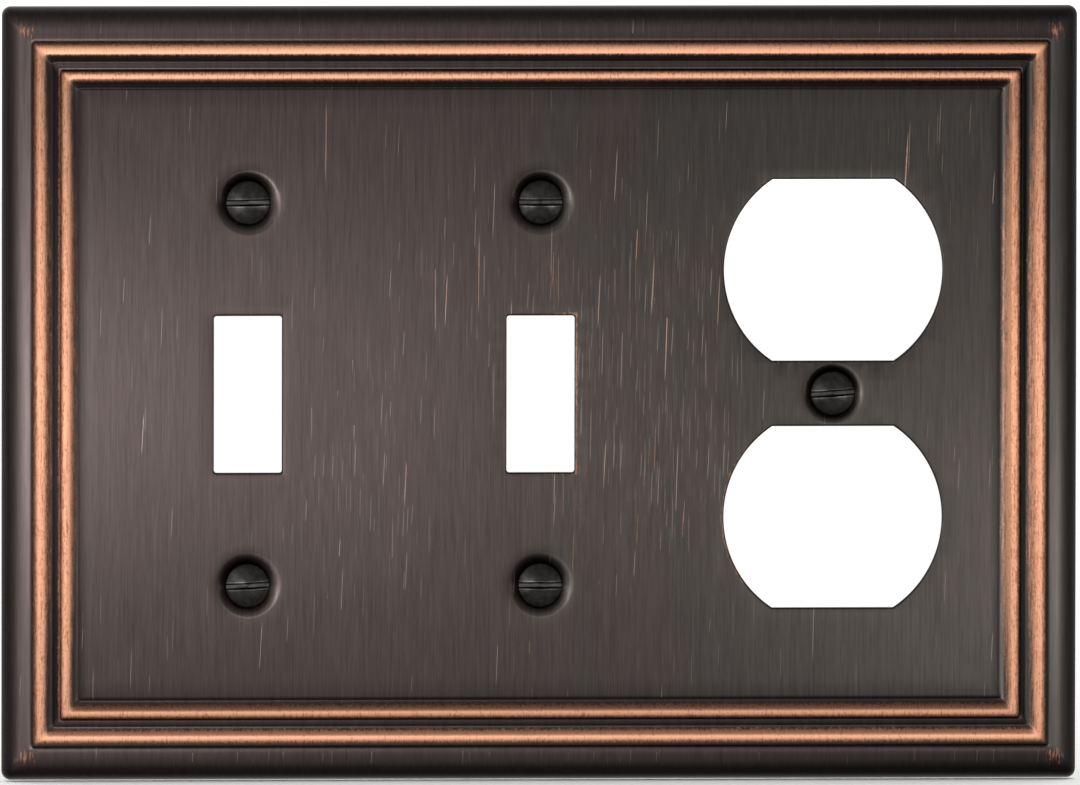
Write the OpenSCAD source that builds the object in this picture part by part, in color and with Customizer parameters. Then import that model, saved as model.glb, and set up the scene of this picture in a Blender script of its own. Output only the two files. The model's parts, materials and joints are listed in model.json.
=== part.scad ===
// Three-gang metal wall plate cover: two toggle openings and one duplex receptacle pair,
// with its five slotted oval-head screws.
// Frame: +X to the right, +Z up, the wall plane at y = 0 and the face of the plate towards -Y.
// The origin is the centre of the plate's outline, on the wall plane.

/* [Plate] */
// Overall width of the plate
plate_w = 169.2; // [167:0.1:172]
// Overall height of the plate
plate_h = 121.8; // [120:0.1:126]
// Radius of the outer corners, seen from the front
corner_r = 1.4; // [0.8:0.1:2]
// Thickness of the pressed sheet
sheet_t = 0.9; // [0.8:0.05:1]
// Height of the recessed panel's face above the wall
panel_h = 4.9; // [4.7:0.1:5.2]

/* [Moulding] */
// Width of the rounded outer crown along the left and right edges
side_crown_w = 4.45; // [4.3:0.05:4.8]
// Width of the rounded outer crown along the top and bottom edges
end_crown_w = 5.2; // [5:0.1:5.6]
// Height of the crown above the wall
crown_h = 5.3; // [5.2:0.1:5.5]
// Height of the outer bead above the wall
outer_bead_h = 6.5; // [6.3:0.1:6.8]
// Height of the ledge between the beads above the wall
ledge_h = 5.75; // [5.65:0.05:5.85]
// Height of the inner bead above the wall
inner_bead_h = 6.15; // [6:0.05:6.3]

/* [Openings] */
// Spacing of the three gangs
gang_pitch = 46.04; // [45.9:0.01:46.2]
// Width of a toggle opening
toggle_w = 10.7; // [10:0.1:11]
// Height of a toggle opening
toggle_h = 24.7; // [24:0.1:25]
// Radius in the corners of a toggle opening
toggle_r = 0.45; // [0.3:0.05:0.8]
// Diameter of the rounded sides of a receptacle opening
receptacle_d = 34.4; // [34:0.1:34.6]
// Height of a receptacle opening between its flats
receptacle_h = 28.6; // [28.3:0.1:28.7]
// Spacing of the two receptacle openings
receptacle_pitch = 38.9; // [38.8:0.1:39.1]

/* [Dimples] */
// Diameter of the dimple round a switch screw
switch_dimple_d = 10.4; // [10:0.1:11]
// Diameter of the dimple round the receptacle screw
receptacle_dimple_d = 9.6; // [9.4:0.1:9.8]
// Depth of a dimple's dish, from the panel to the top of the countersunk seat
dish_depth = 0.6; // [0.5:0.05:0.9]
// Diameter at the top of the countersunk seat
seat_d = 7.4; // [7.2:0.1:7.6]
// Diameter of the clearance hole for a screw
hole_d = 3.9; // [3.8:0.1:4.1]

/* [Screws] */
// Spacing of the two screws of a switch gang
switch_screw_pitch = 60.325; // [60.3:0.005:60.35]
// Major diameter of the 6-32 thread
thread_d = 3.505; // [3.45:0.005:3.51]
// Diameter of the plain neck under the head
neck_d = 3.1; // [3:0.05:3.15]
// Length from the edge of the head to the tip
screw_len = 15.9; // [12.7:0.1:19]
// Diameter of the head
head_d = 6.9; // [6.5:0.05:7]
// Rise of the domed head above its edge
dome_rise = 1.1; // [1:0.05:1.2]
// Width of the driver slot
slot_w = 1.1; // [0.9:0.05:1.2]
// Depth of the driver slot below the top of the dome
slot_depth = 1.05; // [0.9:0.05:1.2]
// Full angle of the countersink under the head
countersink = 82; // [80:1:84]

/* [Hidden] */
$fn = 96;

// Crown: straight rim, then a quarter ellipse, as shares of the crown's width
rim_h = 1;
crown_top_at = 0.84;
crown_lip = 0.05;
rim_share = 0.19;
crown_steps = 10;
// Creases and beads, as distances inwards from the crown
moulding_w = 7.75;
crease_h = 5.2;
crease_underside = 0.2;
foot_underside = 0.45;
bead_steps = 9;
// Each bead: outer foot, start of crest, end of crest, inner foot, then the heights of
// the outer foot, the crest and the inner foot
outer_bead = [0.12, 1.6, 1.8, 3.4, crease_h, outer_bead_h, ledge_h - 0.12];
inner_bead = [4.6, 5.5, 5.7, 7.55, ledge_h - 0.15, inner_bead_h, panel_h - 0.06];
// The ledge between the beads rises to this distance inwards
ledge_at = 4.3;
// Height of the prisms that trim the moulding, from 1 mm behind the wall
cutter_h = outer_bead_h + 2;

// Screw seat, as heights above the wall
seat_h = panel_h - dish_depth;
cone_run = tan(countersink / 2);
sheet_out = sheet_t * cos(countersink / 2);
sheet_down = sheet_t * sin(countersink / 2);
cone_end_h = seat_h - (seat_d - hole_d) / 2 / cone_run;
nose_h = cone_end_h - sheet_down;
head_lift = 0.03;
head_band = 0.12;
head_edge_h = seat_h - (seat_d - head_d) / 2 / cone_run + head_lift;
head_top_h = head_edge_h + head_band + dome_rise;
neck_end_h = nose_h - 0.5;
tip_h = head_edge_h - screw_len;
tip_chamfer = 0.45;
dish_steps = 8;
dish_power = 2.2;

// Angle that each driver slot has turned from level
left_upper_turn = 1;
left_lower_turn = 3;
middle_turn = 0;
receptacle_turn = 4;

bronze = [0.29, 0.26, 0.24];
black = [0.12, 0.12, 0.12];

// ---- Section of the moulding: [distance inwards, height] ----

// Quarter ellipse from the rim up to the top of the crown
function crown_arc(width, from, to, low, high) = [
    for (i = [0 : crown_steps])
        let (a = 90 * i / crown_steps)
        [width * (to - (to - from) * cos(a)), low + (high - low) * sin(a)]
];

// One bead, starting at a distance inwards: a quarter-ellipse outer side, then an S-shaped
// inner side
function bead_arc(b, start) = concat(
    [
        for (i = [0 : bead_steps])
            let (a = 90 * i / bead_steps)
            [start + b[1] - (b[1] - b[0]) * cos(a), b[4] + (b[5] - b[4]) * sin(a)]
    ],
    [
        for (i = [0 : bead_steps])
            let (t = i / bead_steps)
            [start + b[2] + t * (b[3] - b[2]), b[6] + (b[5] - b[6]) * (1 + cos(180 * t)) / 2]
    ]
);

// The underside of a bead: one sheet thickness lower, narrower and deeper at the feet
function underside(b) = [b[0] + foot_underside, b[1], b[2], b[3] - foot_underside,
                         b[4] - sheet_t - crease_underside, b[5] - sheet_t,
                         b[6] - sheet_t - crease_underside];

function face_curve(crown_w) = concat(
    [[0, 0]],
    crown_arc(crown_w, 0, crown_top_at, rim_h, crown_h),
    [[crown_w, crown_h - crown_lip]],
    bead_arc(outer_bead, crown_w),
    [[crown_w + ledge_at, ledge_h]],
    bead_arc(inner_bead, crown_w),
    [[crown_w + moulding_w, panel_h]]
);

function back_curve(crown_w) = concat(
    [[crown_w * rim_share, 0]],
    crown_arc(crown_w, rim_share, crown_top_at, rim_h - sheet_t / 2, crown_h - sheet_t),
    bead_arc(underside(outer_bead), crown_w),
    bead_arc(underside(inner_bead), crown_w),
    [[crown_w + moulding_w, panel_h - sheet_t]]
);

function backwards(points) = [for (i = [len(points) - 1 : -1 : 0]) points[i]];

function section(crown_w) = concat(face_curve(crown_w), backwards(back_curve(crown_w)));

// ---- Plate, built lying flat: X to the right, Y up the wall, Z off the wall ----

// One mitred side of the frame. It lies along X with its outer edge on y = 0.
module side(length, crown_w, neighbour_crown_w) {
    half = length / 2;
    inner_x = half - neighbour_crown_w;
    intersection() {
        rotate([90, 0, 90])
            linear_extrude(height = length, center = true)
                polygon(section(crown_w));
        translate([0, 0, -1])
            linear_extrude(height = cutter_h)
                polygon([
                    [-half, 0], [half, 0],
                    [inner_x, crown_w], [inner_x - moulding_w, crown_w + moulding_w],
                    [moulding_w - inner_x, crown_w + moulding_w], [-inner_x, crown_w]
                ]);
    }
}

// Each side is rounded off before the sides are joined, so that no cut crosses a mitre
module frame_sides() {
    for (turn = [0, 180]) {
        round_off()
            rotate([0, 0, turn])
                translate([0, -plate_h / 2, 0])
                    side(plate_w, end_crown_w, side_crown_w);
        round_off()
            rotate([0, 0, turn + 90])
                translate([0, -plate_w / 2, 0])
                    side(plate_h, side_crown_w, end_crown_w);
    }
}

// Trims its children to the plate's outline with its rounded corners
module round_off() {
    intersection() {
        children();
        translate([0, 0, -1])
            linear_extrude(height = cutter_h)
                rounded_rect(plate_w, plate_h, corner_r);
    }
}

module rounded_rect(w, h, r) {
    square([w - 2 * r, h], center = true);
    square([w, h - 2 * r], center = true);
    for (x = [-1, 1], y = [-1, 1])
        translate([x * (w / 2 - r), y * (h / 2 - r)])
            circle(r);
}

module receptacle_outline() {
    intersection() {
        circle(d = receptacle_d);
        square([receptacle_d + 1, receptacle_h], center = true);
    }
}

// Places its children at the four switch screws
module at_switch_screws() {
    for (x = [-gang_pitch, 0], y = [-1, 1])
        translate([x, y * switch_screw_pitch / 2])
            children();
}

module panel_outline() {
    difference() {
        square([plate_w - 2 * (side_crown_w + moulding_w),
                plate_h - 2 * (end_crown_w + moulding_w)], center = true);
        for (x = [-gang_pitch, 0])
            translate([x, 0])
                rounded_rect(toggle_w, toggle_h, toggle_r);
        for (y = [-1, 1])
            translate([gang_pitch, y * receptacle_pitch / 2])
                receptacle_outline();
        at_switch_screws()
            circle(d = switch_dimple_d);
        translate([gang_pitch, 0])
            circle(d = receptacle_dimple_d);
    }
}

// Rounded slope down into a dish, from the outside in: level at the rim, steepest at the seat
function dish_curve(r_out, r_in, h_out, h_in) = [
    for (i = [0 : dish_steps])
        let (t = i / dish_steps)
        [r_out + (r_in - r_out) * t, h_out + (h_in - h_out) * pow(t, dish_power)]
];

// Pressed dimple with its countersunk seat and clearance hole
module dimple(d) {
    hole_r = hole_d / 2;
    seat_r = seat_d / 2;
    front = dish_curve(d / 2, seat_r, panel_h, seat_h);
    back = dish_curve(d / 2, seat_r + sheet_out, panel_h - sheet_t, seat_h - sheet_down);
    rotate_extrude()
        polygon(concat(
            front,
            [[hole_r, cone_end_h], [hole_r, nose_h], [hole_r + sheet_out, nose_h]],
            backwards(back)
        ));
}

module cover_plate() {
    color(bronze)
    rotate([90, 0, 0])
    union() {
        frame_sides();
        translate([0, 0, panel_h - sheet_t])
            linear_extrude(height = sheet_t)
                panel_outline();
        at_switch_screws()
            dimple(switch_dimple_d);
        translate([gang_pitch, 0])
            dimple(receptacle_dimple_d);
    }
}

// ---- Screws ----

// Slotted oval-head screw. Its axis is Z and heights are above the wall.
module screw_body(turn) {
    head_r = head_d / 2;
    neck_r = neck_d / 2;
    thread_r = thread_d / 2;
    dome_r = (head_r * head_r + dome_rise * dome_rise) / (2 * dome_rise);
    dome_foot_h = head_edge_h + head_band;
    cone_end_on_neck_h = head_edge_h - (head_r - neck_r) / cone_run;
    difference() {
        union() {
            rotate_extrude()
                polygon([
                    [0, tip_h], [thread_r - tip_chamfer, tip_h],
                    [thread_r, tip_h + tip_chamfer], [thread_r, neck_end_h],
                    [neck_r, neck_end_h], [neck_r, cone_end_on_neck_h],
                    [head_r, head_edge_h], [head_r, dome_foot_h], [0, dome_foot_h]
                ]);
            intersection() {
                translate([0, 0, head_top_h - dome_r])
                    sphere(dome_r);
                translate([0, 0, head_edge_h])
                    cylinder(h = head_band + dome_rise + 1, r = head_r);
            }
        }
        rotate([0, 0, turn])
            translate([-head_d, -slot_w / 2, head_top_h - slot_depth])
                cube([2 * head_d, slot_w, slot_depth + 1]);
    }
}

// A screw at a place on the plate, given as x and height z
module screw_at(x, z, turn) {
    color(black)
    translate([x, 0, z])
        rotate([90, 0, 0])
            screw_body(turn);
}

module left_upper_screw() {
    screw_at(-gang_pitch, switch_screw_pitch / 2, left_upper_turn);
}

module left_lower_screw() {
    screw_at(-gang_pitch, -switch_screw_pitch / 2, left_lower_turn);
}

module middle_upper_screw() {
    screw_at(0, switch_screw_pitch / 2, middle_turn);
}

module middle_lower_screw() {
    screw_at(0, -switch_screw_pitch / 2, middle_turn);
}

module receptacle_screw() {
    screw_at(gang_pitch, 0, receptacle_turn);
}

cover_plate();
left_upper_screw();
left_lower_screw();
middle_upper_screw();
middle_lower_screw();
receptacle_screw();
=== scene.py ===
import json
import math
from collections import namedtuple

import bmesh
import bpy
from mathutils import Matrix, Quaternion, Vector
from mathutils.geometry import delaunay_2d_cdt


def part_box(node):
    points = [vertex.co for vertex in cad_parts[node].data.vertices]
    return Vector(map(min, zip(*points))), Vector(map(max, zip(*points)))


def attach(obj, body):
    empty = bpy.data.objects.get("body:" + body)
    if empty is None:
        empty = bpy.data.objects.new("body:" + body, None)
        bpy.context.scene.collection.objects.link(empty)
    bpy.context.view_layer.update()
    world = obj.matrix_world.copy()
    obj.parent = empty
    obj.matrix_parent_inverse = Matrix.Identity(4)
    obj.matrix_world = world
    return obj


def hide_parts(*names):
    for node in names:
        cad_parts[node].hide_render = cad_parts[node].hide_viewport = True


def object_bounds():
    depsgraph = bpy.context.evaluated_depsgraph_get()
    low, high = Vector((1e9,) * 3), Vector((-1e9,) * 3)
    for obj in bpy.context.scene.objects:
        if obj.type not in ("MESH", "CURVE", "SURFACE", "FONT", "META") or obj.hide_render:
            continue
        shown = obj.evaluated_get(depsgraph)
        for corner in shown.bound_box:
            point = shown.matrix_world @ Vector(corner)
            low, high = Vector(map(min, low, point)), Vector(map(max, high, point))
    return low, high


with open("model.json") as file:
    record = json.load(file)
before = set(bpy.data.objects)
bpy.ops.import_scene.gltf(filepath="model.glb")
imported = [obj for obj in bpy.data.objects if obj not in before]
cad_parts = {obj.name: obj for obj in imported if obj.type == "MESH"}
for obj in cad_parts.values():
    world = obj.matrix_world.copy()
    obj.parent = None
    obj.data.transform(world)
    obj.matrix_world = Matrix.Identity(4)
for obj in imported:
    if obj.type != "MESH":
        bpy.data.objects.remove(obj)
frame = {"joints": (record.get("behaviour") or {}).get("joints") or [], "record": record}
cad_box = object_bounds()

# The plate and its screws are built in millimetres as (x, z, h): x to the right, z up and
# h the height off the wall. MM turns that into the frame's metres, where y = -h.
MM = 0.001

# ---- sizes, in millimetres

plate_low, plate_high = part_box("cover_plate")
PLATE_W = (plate_high.x - plate_low.x) / MM
PLATE_H = (plate_high.z - plate_low.z) / MM
BEAD_TOP = -plate_low.y / MM

SHEET = 0.9
PANEL_H = 4.9
BACK_H = PANEL_H - SHEET

# The crown runs from the rim to the moulding's outer crease. Shares are of its width.
SIDE_CROWN = 4.45
END_CROWN = 5.2
RIM_H = 1.0
RIM_SHARE = 0.19
RIM_EDGE_SHARE = 0.012
RIM_ROUND = 0.12
CROWN_H = 5.3
CROWN_TOP_AT = 0.84
CREASE_H = 5.2
# Share and drop from the crown's height, where it turns down into the crease
CROWN_END = ((0.95, 0.01), (1, 0.05))

# Distances inwards from the crease: the whole moulding, and the ledge with its drops
MOULDING = 7.75
LEDGE_H = 5.75
LEDGE = ((3.7, 0.1), (4.0, 0.03), (4.3, 0), (4.45, 0.02))
PANEL_EDGE = ((MOULDING - 0.1, 0.01), (MOULDING, 0))
Bead = namedtuple("Bead", "foot_in crest_in crest_out foot_out h_in h_top h_out")
OUTER_BEAD = Bead(0.12, 1.6, 1.8, 3.4, CREASE_H, BEAD_TOP, LEDGE_H - 0.12)
INNER_BEAD = Bead(4.6, 5.5, 5.7, 7.55, LEDGE_H - 0.15, 6.15, PANEL_H - 0.06)
# Corner radius of a ring at a distance inwards from the crease
CORNER_RADII = ((-SIDE_CROWN, 1.4), (0, 0.8), (0.2, 0.35), (1.6, 0.6), (2.6, 0.7), (4.3, 0.5),
                (4.6, 0.45), (5.9, 0.7), (7.35, 0.5), (MOULDING, 0.45))

GANG_PITCH = 46.04
SWITCH_SCREW_PITCH = 60.325
TOGGLE_W, TOGGLE_H, TOGGLE_R = 10.7, 24.7, 0.45
RECEPTACLE_R = 34.4 / 2
RECEPTACLE_H = 28.6
RECEPTACLE_PITCH = 38.9
EDGE_ROUND = 0.32
BURR_ROUND = 0.12

SWITCH_DIMPLE_R = 10.4 / 2
RECEPTACLE_DIMPLE_R = 9.6 / 2
DISH_FALL = 2.2
SEAT_R = 7.4 / 2
SEAT_H = PANEL_H - 0.6
HOLE_R = 3.9 / 2
CONE_ANGLE = math.radians(41)
CONE_END_H = SEAT_H - (SEAT_R - HOLE_R) / math.tan(CONE_ANGLE)
NOSE_H = CONE_END_H - SHEET * math.sin(CONE_ANGLE)
NOSE_ROUND = 0.1

HEAD_R = 6.9 / 2
HEAD_LIFT = 0.03
HEAD_EDGE_H = SEAT_H - (SEAT_R - HEAD_R) / math.tan(CONE_ANGLE) + HEAD_LIFT
HEAD_BAND = 0.12
HEAD_ROUND = 0.03
DOME_RISE = 1.1
HEAD_TOP = HEAD_EDGE_H + HEAD_BAND + DOME_RISE
SLOT_W = 1.1
SLOT_FLOOR_W = 0.6
SLOT_DEPTH = 1.05
SLOT_FLARE = 0.4
LIP_ROUND = 0.07
NECK_R = 2.9 / 2
THREAD_R = 3.505 / 2
THREAD_PITCH = 25.4 / 32
THREAD_DEPTH = 0.6134 * THREAD_PITCH
THREAD_CORE = THREAD_R - THREAD_DEPTH
CREST_FLAT = 1 / 8
ROOT_FLAT = 1 / 4
SCREW_LENGTH = 15.9
TIP_H = HEAD_EDGE_H - SCREW_LENGTH
TIP_ROUND = 0.1
THREAD_TOP = NOSE_H - 0.4
NECK_STEP = 0.2

# How far each screw's slot is turned from level, in degrees
SLOT_TURNS = {
    "left_upper_screw": 1,
    "left_lower_screw": 3,
    "middle_upper_screw": 0,
    "middle_lower_screw": 0,
    "receptacle_screw": 4,
}

# How finely curves are cut, and the spacing of the points inside the flat sheets
CROWN_STEPS, CROWN_BACK_STEPS = 16, 10
BEAD_STEPS, BEAD_BACK_STEPS = 10, 7
DISH_STEPS, DISH_BACK_STEPS, CONE_STEPS = 16, 8, 4
EDGE_STEPS = 5
RING_ACROSS, RING_UP = 84, 60
SCREW_AROUND = 72
STEPS_PER_PITCH = 14
DOME_STEPS = 18
FACE_SPACING, BACK_SPACING = 3.0, 4.0
SHARP_ANGLE = math.radians(38)


# ---- mesh helpers


class Skin:
    """Collects the points and faces of one mesh, ring by ring."""

    def __init__(self):
        self.points = []
        self.faces = []
        self.slots = []
        self.slot = 0

    def ring(self, points):
        start = len(self.points)
        self.points += points
        return list(range(start, start + len(points)))

    def face(self, corners):
        self.faces.append(corners)
        self.slots.append(self.slot)

    def bridge(self, outer, inner):
        """Quads from one closed ring to the next."""
        n = len(outer)
        for i in range(n):
            j = (i + 1) % n
            self.face((outer[i], outer[j], inner[j], inner[i]))

    def sweep(self, rings):
        """Joins rings of new points, or of numbers of known ones, in order."""
        indexed = [self.ring(r) if isinstance(r[0], tuple) else r for r in rings]
        for outer, inner in zip(indexed, indexed[1:]):
            self.bridge(outer, inner)
        return indexed

    def cap(self, ring, centre):
        middle = self.ring([centre])[0]
        n = len(ring)
        for i in range(n):
            self.face((ring[i], ring[(i + 1) % n], middle))

    def flat(self, indices):
        return [Vector(self.points[i][:2]) for i in indices]

    def sheet(self, outer, holes, height, spacing, flip):
        """A flat sheet between an outer ring and hole rings, with a grid of inner points."""
        known = []
        edges = []
        for loop in [outer] + holes:
            start = len(known)
            n = len(loop)
            known += loop
            edges += [(start + i, start + (i + 1) % n) for i in range(n)]
        where = self.flat(known) + grid(self.flat(outer), spacing)
        verts, _, faces, origins, _, _ = delaunay_2d_cdt(where, edges, [], 0, 1e-6)
        index = []
        for v, source in zip(verts, origins):
            old = [known[k] for k in source if k < len(known)]
            index.append(old[0] if old else self.ring([(v.x, v.y, height)])[0])
        polygons = [self.flat(hole) for hole in holes]
        for corners in faces:
            middle = sum((verts[k] for k in corners), Vector((0, 0))) / len(corners)
            if any(inside(middle, polygon) for polygon in polygons):
                continue
            loop = [index[k] for k in corners]
            self.face(tuple(reversed(loop)) if flip else tuple(loop))

    def mesh(self, name):
        """The closed mesh, in the frame's metres, with its faces turned outwards."""
        data = bpy.data.meshes.new(name)
        data.from_pydata([(x * MM, -h * MM, z * MM) for x, z, h in self.points], [], self.faces)
        data.polygons.foreach_set("material_index", self.slots)
        data.validate()
        work = bmesh.new()
        work.from_mesh(data)
        bmesh.ops.recalc_face_normals(work, faces=work.faces)
        work.to_mesh(data)
        work.free()
        return data


def grid(outline, spacing):
    """Evenly spaced points in the box round an outline."""
    xs = [p.x for p in outline]
    zs = [p.y for p in outline]
    width = max(xs) - min(xs)
    height = max(zs) - min(zs)
    columns = int(width / spacing)
    rows = int(height / spacing)
    return [Vector((min(xs) + width * i / columns, min(zs) + height * j / rows))
            for i in range(1, columns) for j in range(1, rows)]


def inside(point, polygon):
    """Is a point inside a closed outline?"""
    hit = False
    for a, b in zip(polygon, polygon[1:] + polygon[:1]):
        if (a.y > point.y) != (b.y > point.y):
            if point.x < a.x + (b.x - a.x) * (point.y - a.y) / (b.y - a.y):
                hit = not hit
    return hit


def steps(count):
    return [i / count for i in range(count + 1)]


def at_height(outline, h):
    return [(x, z, h) for x, z in outline]


def rounded_rect(half_w, half_h, r, across, up, corner=6, centre=(0, 0)):
    """Anticlockwise outline. Its number of points doesn't depend on its size."""
    points = []
    for turn, (sx, sz) in enumerate(((1, -1), (1, 1), (-1, 1), (-1, -1))):
        cx = sx * (half_w - r)
        cz = sz * (half_h - r)
        for i in range(corner + 1):
            a = math.pi / 2 * (turn - 1 + i / corner)
            points.append((cx + r * math.cos(a), cz + r * math.sin(a)))
        length = 2 * ((half_h if turn % 2 == 0 else half_w) - r)
        count = up if turn % 2 == 0 else across
        dx, dz = ((0, 1), (-1, 0), (0, -1), (1, 0))[turn]
        x, z = points[-1]
        for i in range(1, count):
            points.append((x + dx * length * i / count, z + dz * length * i / count))
    return [(centre[0] + x, centre[1] + z) for x, z in points]


def circle(r, centre=(0, 0), count=96):
    return [(centre[0] + r * math.cos(2 * math.pi * i / count),
             centre[1] + r * math.sin(2 * math.pi * i / count)) for i in range(count)]


def toggle_outline(grow, centre):
    return rounded_rect(TOGGLE_W / 2 + grow, TOGGLE_H / 2 + grow, TOGGLE_R + grow,
                        across=8, up=16, centre=centre)


def receptacle_outline(grow, centre, arc=48, flat=20):
    """A circle cut by two level flats, all moved outwards by grow."""
    r = RECEPTACLE_R + grow
    half = RECEPTACLE_H / 2 + grow
    a = math.asin(half / r)
    x = r * math.cos(a)
    points = []
    for side in (1, -1):
        for i in range(arc):
            b = -a + 2 * a * i / arc
            points.append((side * r * math.cos(b), side * r * math.sin(b)))
        for i in range(flat):
            points.append((side * (x - 2 * x * i / flat), side * half))
    return [(centre[0] + px, centre[1] + pz) for px, pz in points]


# ---- the plate's section


def crown_curve(start, low, high, count):
    """Share of the crown's width and height, from the rim to the top of the crown."""
    curve = []
    for t in steps(count):
        a = math.pi / 2 * t
        curve.append((CROWN_TOP_AT - (CROWN_TOP_AT - start) * math.cos(a),
                      low + (high - low) * math.sin(a)))
    return curve


def bead_curve(bead, count):
    """A rounded outer side, then an S-shaped inner side."""
    rise = [(bead.crest_in - (bead.crest_in - bead.foot_in) * math.cos(math.pi / 2 * t),
             bead.h_in + (bead.h_top - bead.h_in) * math.sin(math.pi / 2 * t))
            for t in steps(count)]
    fall = [(bead.crest_out + t * (bead.foot_out - bead.crest_out),
             bead.h_out + (bead.h_top - bead.h_out) * (1 + math.cos(math.pi * t)) / 2)
            for t in steps(count)]
    return rise + fall


def corner_radius(inwards):
    for (a, ra), (b, rb) in zip(CORNER_RADII, CORNER_RADII[1:]):
        if inwards <= b:
            return ra + (rb - ra) * max(0.0, (inwards - a) / (b - a))
    return CORNER_RADII[-1][1]


def plate_ring(share, inwards, h):
    """The closed ring of the moulding at one point of its section."""
    du = SIDE_CROWN * share + inwards
    dv = END_CROWN * share + inwards
    r = corner_radius(inwards + SIDE_CROWN * (share - 1))
    outline = rounded_rect(PLATE_W / 2 - du, PLATE_H / 2 - dv, r, RING_ACROSS, RING_UP)
    return at_height(outline, h)


def lowered(bead):
    """The underside of a bead: one sheet lower, narrower and deeper at its feet."""
    narrower = 0.45
    deeper = SHEET + 0.2
    return Bead(bead.foot_in + narrower, bead.crest_in, bead.crest_out, bead.foot_out - narrower,
                bead.h_in - deeper, bead.h_top - SHEET, bead.h_out - deeper)


def face_rings():
    rings = [plate_ring(RIM_EDGE_SHARE, 0, 0), plate_ring(0, 0, RIM_ROUND)]
    rings += [plate_ring(s, 0, h) for s, h in crown_curve(0, RIM_H, CROWN_H, CROWN_STEPS)]
    rings += [plate_ring(s, 0, CROWN_H - drop) for s, drop in CROWN_END]
    rings += [plate_ring(1, v, h) for v, h in bead_curve(OUTER_BEAD, BEAD_STEPS)]
    rings += [plate_ring(1, v, LEDGE_H - drop) for v, drop in LEDGE]
    rings += [plate_ring(1, v, h) for v, h in bead_curve(INNER_BEAD, BEAD_STEPS)]
    rings += [plate_ring(1, v, PANEL_H - drop) for v, drop in PANEL_EDGE]
    return rings


def back_rings():
    crown = crown_curve(RIM_SHARE, RIM_H - SHEET / 2, CROWN_H - SHEET, CROWN_BACK_STEPS)
    rings = [plate_ring(RIM_SHARE, 0, 0)]
    rings += [plate_ring(s, 0, h) for s, h in crown]
    for bead in (OUTER_BEAD, INNER_BEAD):
        rings += [plate_ring(1, v, h) for v, h in bead_curve(lowered(bead), BEAD_BACK_STEPS)]
    rings.append(plate_ring(1, MOULDING, BACK_H))
    return rings


def dish_curve(r_out, r_in, h_out, h_in, count):
    return [(r_out + (r_in - r_out) * t, h_out + (h_in - h_out) * t ** DISH_FALL)
            for t in steps(count)]


def dimple_curves(r):
    """Radius and height from the face to the nose, and from the cone back to the sheet."""
    out = SHEET * math.cos(CONE_ANGLE)
    down = SHEET * math.sin(CONE_ANGLE)
    front = dish_curve(r, SEAT_R, PANEL_H, SEAT_H, DISH_STEPS)
    front += [(SEAT_R + (HOLE_R - SEAT_R) * t, SEAT_H + (CONE_END_H - SEAT_H) * t)
              for t in steps(CONE_STEPS)[1:]]
    front += [(HOLE_R, NOSE_H + NOSE_ROUND), (HOLE_R + NOSE_ROUND, NOSE_H),
              (HOLE_R + out - NOSE_ROUND, NOSE_H), (HOLE_R + out, NOSE_H + NOSE_ROUND)]
    back = dish_curve(r, SEAT_R + out, BACK_H, SEAT_H - down, DISH_BACK_STEPS)[::-1]
    return front, back


def opening_rings(outline, centre):
    """From the face, round the edge, through the sheet and out at the back."""
    rings = []
    for t in steps(EDGE_STEPS):
        a = math.pi / 2 * t
        rings.append(at_height(outline(EDGE_ROUND * (1 - math.sin(a)), centre),
                               PANEL_H - EDGE_ROUND * (1 - math.cos(a))))
    rings.append(at_height(outline(0, centre), BACK_H + BURR_ROUND))
    rings.append(at_height(outline(BURR_ROUND, centre), BACK_H))
    return rings


# ---- material helpers

# A noise: waves per mm along x, y and z, then its octaves, their roughness, and a seed
Noise = namedtuple("Noise", "stretch detail roughness seed")


def draw_curve(mapping, marks, straight):
    """Puts a node's curve through the marks, with straight lines or smoothly."""
    line = mapping.curves[0]
    line.points[0].location = marks[0]
    line.points[1].location = marks[-1]
    for mark in marks[1:-1]:
        line.points.new(*mark)
    if straight:
        for point in line.points:
            point.handle_type = "VECTOR"
    mapping.update()


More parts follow.
